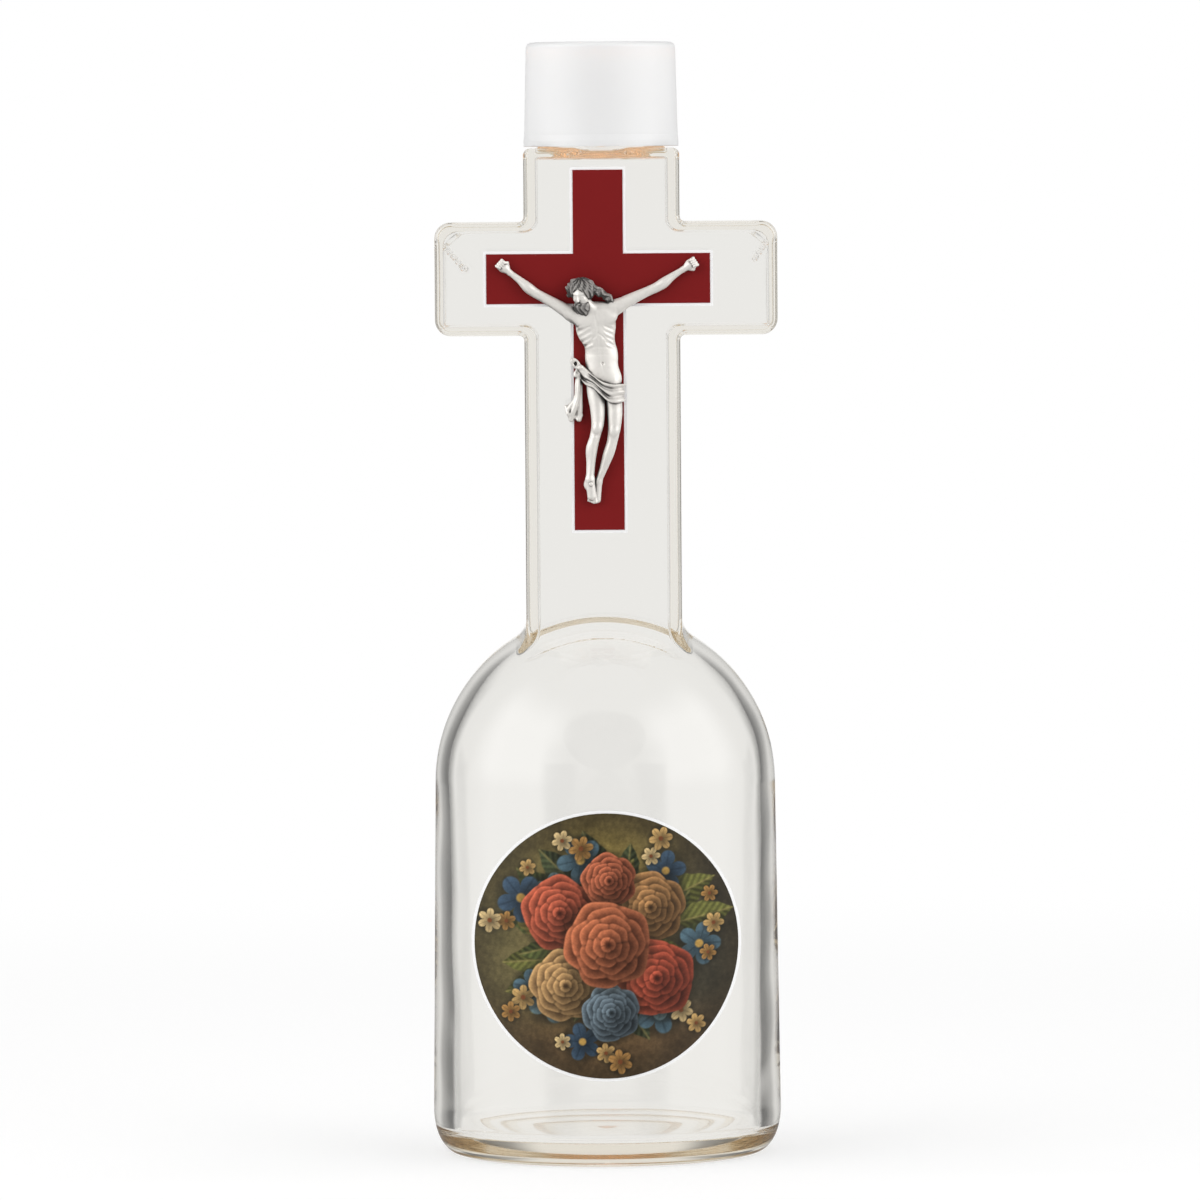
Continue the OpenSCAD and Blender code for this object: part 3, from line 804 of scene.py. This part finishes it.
def bent_film(name, radius, low, high, count):
    """A round film that follows the body, from a height of low to high above the glass."""
    across, up, quads, rim = disc(count)
    x = radius * across
    z = MEDALLION_Z + radius * up
    run = (z - HEEL_H) / (DOME_Z - HEEL_H)
    wall = BODY_BASE_R + (BODY_TOP_R - BODY_BASE_R) * run

    def sheet(height):
        return np.stack([x, -np.sqrt((wall + height) ** 2 - x * x), z], 1)

    n = len(x)
    front = sheet(high)
    out = np.stack([x / (wall + high), front[:, 1] / (wall + high), np.zeros(n)], 1)
    after = np.roll(rim, -1)
    edge = np.stack([rim + n, after + n, after, rim], 1)
    faces = np.concatenate([quads, quads[:, ::-1] + n, edge])
    points = np.concatenate([front, sheet(low)])
    return quad_mesh(name, points, faces, np.concatenate([out, -out])), x, z - MEDALLION_Z


def over(picture, colour, cover):
    """Paint a colour, one or one a point, over a picture."""
    cover = np.clip(cover, 0, 1)[:, None]
    return picture * (1 - cover) + np.broadcast_to(np.asarray(colour, float), picture.shape) * cover


def mottle(x, z, scale, seed):
    """Soft blotches between minus one and one."""
    total = 0
    for k in range(5):
        a = seed + 2.4 * k
        total = total + np.sin(scale * (1 + 0.37 * k) * (x * math.cos(a) + z * math.sin(a)) + 1.7 * seed + k
                               + 1.3 * np.sin(0.6 * scale * (z * math.cos(a) - x * math.sin(a)) + a))
    return total / 3.2


def rose(picture, x, z, at, size, colour, seed):
    """A full rose: rings of petals from the outside in, each with a pale lip and a dark base."""
    dx = x - at[0]
    dz = z - at[1]
    reach = hypot(dx, dz)
    angle = np.arctan2(dz, dx)
    dark = 0.34 * np.array(colour)
    light = np.minimum(1.45 * np.array(colour) + 14, 235)
    picture = over(picture, (26, 24, 18), 0.5 * smooth((1.25 * size - reach) / (0.4 * size)))
    for layer in range(6):
        outer = size * (1 - 0.165 * layer)
        petals = 5 if layer < 4 else 3
        phase = petals * (angle - seed - 0.9 * layer) + 0.5 * np.sin(angle + seed)
        lip = outer * (0.9 + 0.12 * np.abs(np.cos(phase / 2)) + 0.02 * np.sin(9 * angle + seed))
        inside = smooth((lip - reach) / (0.035 * size) + 0.5)
        depth = np.clip((lip - reach) / (0.3 * size), 0, 1)
        tone = (1 - depth[:, None]) ** 1.6
        seam = 0.55 * bump(np.abs(np.sin(phase / 2 + math.pi / 2)), 0.16)[:, None]
        side_light = 0.82 + 0.24 * np.sin(angle - 0.9)[:, None]
        shade = (dark + (light - dark) * tone * 0.75 + 0.12 * light) * side_light * (1 - seam * 0.5)
        picture = over(picture, shade, inside)
    return over(picture, dark, 0.7 * smooth((0.12 * size - reach) / (0.1 * size)))


def blossom(picture, x, z, at, size, colour, heart, petals, seed):
    """A flat flower with petals round a small heart."""
    dx = x - at[0]
    dz = z - at[1]
    reach = hypot(dx, dz)
    phase = petals * (np.arctan2(dz, dx) - seed) / 2
    lip = size * (0.45 + 0.55 * np.abs(np.cos(phase)) ** 0.6)
    body = smooth((lip - reach) / (0.1 * size) + 0.5)
    tone = 0.55 + 0.62 * np.clip(reach / size, 0, 1) + 0.12 * np.sin(np.arctan2(dz, dx) - 0.9)
    vein = 1 - 0.2 * bump(np.sin(phase), 0.16)
    picture = over(picture, (24, 24, 20), 0.45 * smooth((1.3 * size - reach) / (0.5 * size)))
    picture = over(picture, np.array(colour) * (tone * vein)[:, None], body)
    return over(picture, heart, smooth((0.24 * size - reach) / (0.1 * size)))


def leaf(picture, x, z, at, turn, size, colour):
    """A pointed leaf with a pale midrib and side veins, growing from one point."""
    u = (x - at[0]) * math.cos(turn) + (z - at[1]) * math.sin(turn)
    v = (z - at[1]) * math.cos(turn) - (x - at[0]) * math.sin(turn)
    t = np.clip(u / size, 0, 1)
    half = 0.27 * size * np.sin(math.pi * t ** 0.8) * (1 + 0.05 * np.sin(26 * t))
    body = smooth((half - np.abs(v)) / 0.3 + 0.3) * (u > 0) * (u < size)
    tone = 0.72 + 0.3 * (v > 0) + 0.16 * np.sin(5.5 * (u - 1.1 * np.abs(v)))
    picture = over(picture, np.array(colour) * tone[:, None], body)
    return over(picture, (150, 138, 88), 0.6 * body * bump(v, 0.16))


# The bunch is drawn at a smaller size and spread. Its leaves follow the golden angle and the golden share.
SPREAD = 1.2
GOLDEN_ANGLE = 2.399963
GOLDEN_SHARE = 0.618034
GREENS = ((98, 100, 54), (78, 86, 50), (120, 110, 60), (66, 74, 52))
BLUES = ((70, 92, 106), (84, 104, 112), (56, 74, 94))
BLUE_HEART = (176, 142, 78)
GOLDS = ((170, 140, 92), (148, 112, 66), (186, 164, 122))
GOLD_HEART = (112, 66, 40)
LEAVES = 34
BLUE_FLOWERS = 11
GOLD_FLOWERS = 17

# Roses: place, size and colour
ROSES = (
    ((-6.6, 4.6), 5.3, (158, 74, 54)),
    ((6.2, 5.4), 5.0, (142, 104, 66)),
    ((7.0, -4.6), 5.5, (150, 66, 48)),
    ((-5.8, -5.6), 5.1, (166, 122, 82)),
    ((0.4, 9.2), 3.9, (150, 82, 58)),
    ((0.6, -9.4), 4.1, (84, 98, 110)),
    ((0.2, 0.2), 6.2, (168, 88, 60)),
)


def bouquet(x, z):
    """A painted bunch of flowers before an old gold ground, in eight-bit colour values."""
    reach = hypot(x, z) / PICTURE_R
    ground = np.empty((len(x), 3))
    ground[:] = (92, 82, 56)
    ground = over(ground, (128, 113, 64), 0.9 * bump(hypot(x + 2, z - 13), 13))
    ground = over(ground, (104, 97, 66), 0.8 * smooth((-x - 4) / 14))
    ground = over(ground, (54, 52, 45), 0.85 * smooth((x - 3 - 0.2 * z) / 15))
    ground = over(ground, (96, 74, 52), 0.8 * smooth((-z - 6) / 12))
    ground = over(ground, (46, 40, 30), 0.55 * smooth((reach - 0.72) / 0.3))
    ground = ground * (1 + 0.09 * mottle(x, z, 0.6, 1.1) + 0.06 * mottle(x, z, 2.3, 2.7))[:, None]
    x = x / SPREAD
    z = z / SPREAD
    for k in range(LEAVES):
        turn = GOLDEN_ANGLE * k
        start = 4.5 + 6.5 * ((k * GOLDEN_SHARE) % 1)
        at = (start * math.cos(turn), start * math.sin(turn) - 0.5)
        size = 6.2 + 2.4 * math.sin(1.7 * k)
        ground = leaf(ground, x, z, at, turn + 0.45 * math.sin(3.1 * k), size, GREENS[k % 4])
    for k in range(BLUE_FLOWERS):
        turn = 2 * math.pi * k / BLUE_FLOWERS + 0.25 * math.sin(2.3 * k)
        far = 12.2 + 1.8 * math.sin(4.1 * k + 0.5)
        at = (far * math.cos(turn), far * math.sin(turn))
        size = 3.1 + 0.4 * math.sin(2.9 * k)
        ground = blossom(ground, x, z, at, size, BLUES[k % 3], BLUE_HEART, 5, 0.7 * k)
    for k in range(GOLD_FLOWERS):
        turn = 2 * math.pi * (k + 0.5) / GOLD_FLOWERS + 0.2 * math.sin(3.7 * k)
        far = 15.4 + 1.5 * math.sin(2.6 * k)
        at = (far * math.cos(turn), far * math.sin(turn))
        size = 1.5 + 0.3 * math.sin(5 * k)
        ground = blossom(ground, x, z, at, size, GOLDS[k % 3], GOLD_HEART, 6, 1.1 * k)
    for k, (at, size, colour) in enumerate(ROSES):
        ground = rose(ground, x, z, at, size, colour, 1.3 * k + 0.4)
    strokes = 1 + 0.05 * mottle(x + 0.5 * z, z - 0.3 * x, 3.1, 4.2) + 0.04 * mottle(x, z, 7.5, 0.6)
    warm = np.array((1.0, 0.985, 0.95))
    return np.clip(ground * strokes[:, None] * warm, 0, 255)


def picture_ink():
    made, tree, shader = material("medallion_ink")
    paint = node(tree, "ShaderNodeVertexColor", layer_name="paint")
    place = node(tree, "ShaderNodeTexCoord")
    noise = node(tree, "ShaderNodeTexNoise", Scale=2600.0, Detail=4.0)
    tree.links.new(place.outputs["Object"], noise.inputs["Vector"])
    tone = node(tree, "ShaderNodeHueSaturation")
    tree.links.new(ramp(tree, noise.outputs["Fac"], 0.2, 0.8, 0.9, 1.1), tone.inputs["Value"])
    tree.links.new(paint.outputs["Color"], tone.inputs["Color"])
    tree.links.new(tone.outputs[0], shader.inputs["Base Color"])
    tree.links.new(ramp(tree, noise.outputs["Fac"], 0.2, 0.8, 0.42, 0.52), shader.inputs["Roughness"])
    shader.inputs["Specular IOR Level"].default_value = 0.2
    return made


FILM_FRONT = FILM_GAP + FILM_T
backing = bent_film("medallion_film", MEDALLION_R, FILM_GAP, FILM_FRONT, 90)[0]
backing.data.materials.append(moulded("white_film_2", *WHITE_FILM))
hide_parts("medallion_backing")
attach(backing, "bottle")

PICTURE_ROWS = 330
picture, across, up = bent_film("medallion_picture", PICTURE_R, FILM_FRONT, FILM_FRONT + FILM_T, PICTURE_ROWS)
paint = np.ones((2 * len(across), 4), np.float32)
paint[:len(across), :3] = to_linear(bouquet(across, up))
picture.data.attributes.new("paint", "FLOAT_COLOR", "POINT").data.foreach_set("color", paint.ravel())
picture.data.materials.append(picture_ink())
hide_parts("medallion_print")
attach(picture, "bottle")


# Stage

def floor():
    """A pale floor with the shadow, white farther off, and clear to bent and mirrored rays."""
    half = 3.0
    corners = [(-half, -half, 0), (half, -half, 0), (half, half, 0), (-half, half, 0)]
    mesh = bpy.data.meshes.new("floor")
    mesh.from_pydata(corners, [], [(0, 1, 2, 3)])
    piece = bpy.data.objects.new("floor", mesh)
    bpy.context.scene.collection.objects.link(piece)
    made, tree, shader = material("pale_floor")
    shader.inputs["Base Color"].default_value = (0.82, 0.82, 0.82, 1)
    shader.inputs["Roughness"].default_value = 0.9
    shader.inputs["Specular IOR Level"].default_value = 0.0
    path = node(tree, "ShaderNodeLightPath")
    seen = calc(tree, "MAXIMUM", path.outputs["Is Camera Ray"], path.outputs["Is Glossy Ray"])
    seen = calc(tree, "MAXIMUM", seen, path.outputs["Is Transmission Ray"])
    shader.inputs["Emission Color"].default_value = (1, 1, 1, 1)
    tree.links.new(calc(tree, "MULTIPLY", seen, 0.3), shader.inputs["Emission Strength"])
    white = node(tree, "ShaderNodeEmission", Strength=1.0)
    place = node(tree, "ShaderNodeTexCoord")
    reach = node(tree, "ShaderNodeVectorMath", operation="LENGTH")
    tree.links.new(place.outputs["Object"], reach.inputs[0])
    mixed = node(tree, "ShaderNodeMixShader")
    away = ramp(tree, reach.outputs["Value"], 0.2, 0.55)
    tree.links.new(calc(tree, "MULTIPLY", away, seen), mixed.inputs[0])
    tree.links.new(shader.outputs[0], mixed.inputs[1])
    tree.links.new(white.outputs[0], mixed.inputs[2])
    bent = calc(tree, "MAXIMUM", path.outputs["Is Glossy Ray"], path.outputs["Is Transmission Ray"])
    ended = node(tree, "ShaderNodeMixShader")
    tree.links.new(bent, ended.inputs[0])
    tree.links.new(mixed.outputs[0], ended.inputs[1])
    tree.links.new(node(tree, "ShaderNodeBsdfTransparent").outputs[0], ended.inputs[2])
    tree.links.new(ended.outputs[0], tree.nodes["Material Output"].inputs["Surface"])
    piece.data.materials.append(made)


BOTTLE_MIDDLE_Z = 0.095


def lamp(name, azimuth, elevation, distance, width, height, power):
    """A softbox that faces the middle of the bottle; azimuth 0 is the front, and 90 the right."""
    a = math.radians(azimuth)
    e = math.radians(elevation)
    aim = Vector((0, 0, BOTTLE_MIDDLE_Z))
    away = Vector((math.sin(a) * math.cos(e), -math.cos(a) * math.cos(e), math.sin(e)))
    data = bpy.data.lights.new(name, "AREA")
    data.shape = "RECTANGLE"
    data.size = width
    data.size_y = height
    data.energy = power
    made = bpy.data.objects.new(name, data)
    made.location = aim + away * distance
    made.rotation_euler = away.to_track_quat("Z", "Y").to_euler()
    made.visible_camera = False
    made.visible_glossy = False
    made.visible_transmission = False
    bpy.context.scene.collection.objects.link(made)


def studio():
    """White to the camera, soft to matt surfaces, and its own pattern for bent and for mirrored rays."""
    world = bpy.data.worlds.new("studio")
    bpy.context.scene.world = world
    world.use_nodes = True
    tree = world.node_tree
    shade = tree.nodes["Background"]
    place = node(tree, "ShaderNodeTexCoord")
    split = node(tree, "ShaderNodeSeparateXYZ")
    tree.links.new(place.outputs["Generated"], split.inputs[0])
    x, y, z = split.outputs
    turn = calc(tree, "MULTIPLY", calc(tree, "ARCTAN2", x, y), 180 / math.pi)
    rise = calc(tree, "MULTIPLY", calc(tree, "ARCSINE", z), 180 / math.pi)
    side = calc(tree, "PINGPONG", turn, 90)
    path = node(tree, "ShaderNodeLightPath")

    # Bent rays see white with a grey gap at each side, which draws the dark rims of the glass
    near = ramp(tree, side, 15, 28, 0.0, 0.64)
    far = ramp(tree, side, 26, 38, 0.0, 0.18)
    gap = calc(tree, "MULTIPLY", calc(tree, "ADD", near, far), ramp(tree, side, 50, 42))
    level_band = calc(tree, "MULTIPLY", ramp(tree, rise, 34, 22), ramp(tree, rise, -11, -8))
    through = calc(tree, "SUBTRACT", 1.0, calc(tree, "MULTIPLY", gap, level_band))
    through = calc(tree, "MULTIPLY", through, 0.86)

    # Mirrored rays see a dim room, a bright strip behind and a tall panel at each side
    around = calc(tree, "ABSOLUTE", turn)
    behind = ramp(tree, around, 12, 6, 0.0, 0.7)
    gloss = calc(tree, "ADD", behind, ramp(tree, y, -0.9, 0.2, 0.12, 0.26))
    panel = calc(tree, "MULTIPLY", ramp(tree, around, 70, 98), ramp(tree, around, 158, 130))
    tall = calc(tree, "MULTIPLY", ramp(tree, rise, -14, 10), ramp(tree, rise, 60, 34))
    panel = calc(tree, "MULTIPLY", calc(tree, "MULTIPLY", panel, tall), 2.0)
    gloss = calc(tree, "ADD", gloss, panel)

    level = calc(tree, "MULTIPLY", path.outputs["Is Diffuse Ray"], 0.42)
    level = calc(tree, "ADD", level, path.outputs["Is Camera Ray"])
    level = calc(tree, "ADD", level, calc(tree, "MULTIPLY", path.outputs["Is Transmission Ray"], through))
    mirrored = calc(tree, "SUBTRACT", path.outputs["Is Glossy Ray"], path.outputs["Is Transmission Ray"])
    mirrored = calc(tree, "MAXIMUM", mirrored, 0.0)
    level = calc(tree, "ADD", level, calc(tree, "MULTIPLY", mirrored, gloss))
    tint = node(tree, "ShaderNodeMix", data_type="RGBA")
    tint.inputs[6].default_value = (1, 1, 1, 1)
    tint.inputs[7].default_value = (1.0, 0.992, 0.962, 1)
    tree.links.new(path.outputs["Is Transmission Ray"], tint.inputs[0])
    tree.links.new(tint.outputs[2], shade.inputs["Color"])
    tree.links.new(level, shade.inputs["Strength"])


HALF_FRAME = 600
PIXELS_PER_MM = 5.83


def camera():
    """The photograph's view: from far off and a little above, with a slight lean."""
    distance = 1.5
    eye_z = 0.168
    aim_z = 0.0949
    across = -0.0007
    lean = math.radians(0.39)
    data = bpy.data.cameras.new("camera")
    data.angle = 2 * math.atan(HALF_FRAME / (PIXELS_PER_MM * distance / MM))
    made = bpy.data.objects.new("camera", data)
    bpy.context.scene.collection.objects.link(made)
    eye = Vector((across, -distance, eye_z))
    aim = Vector((across, 0, aim_z))
    look = (aim - eye).to_track_quat("-Z", "Y").to_matrix().to_4x4()
    made.matrix_world = Matrix.Translation(eye) @ look @ Matrix.Rotation(-lean, 4, "Z")
    bpy.context.scene.camera = made


floor()
for name, azimuth in (("softbox_left", -66), ("softbox_right", 66)):
    lamp(name, azimuth, elevation=22, distance=2.2, width=2.9, height=1.9, power=38)
studio()
camera()
bpy.context.scene.view_settings.view_transform = "Standard"

# Light that is led along the glass leaves it only after many reflections
GLASS_BOUNCES = 200
bpy.context.scene.cycles.max_bounces = GLASS_BOUNCES
bpy.context.scene.cycles.diffuse_bounces = 16
bpy.context.scene.cycles.transmission_bounces = GLASS_BOUNCES
bpy.context.scene.cycles.glossy_bounces = GLASS_BOUNCES
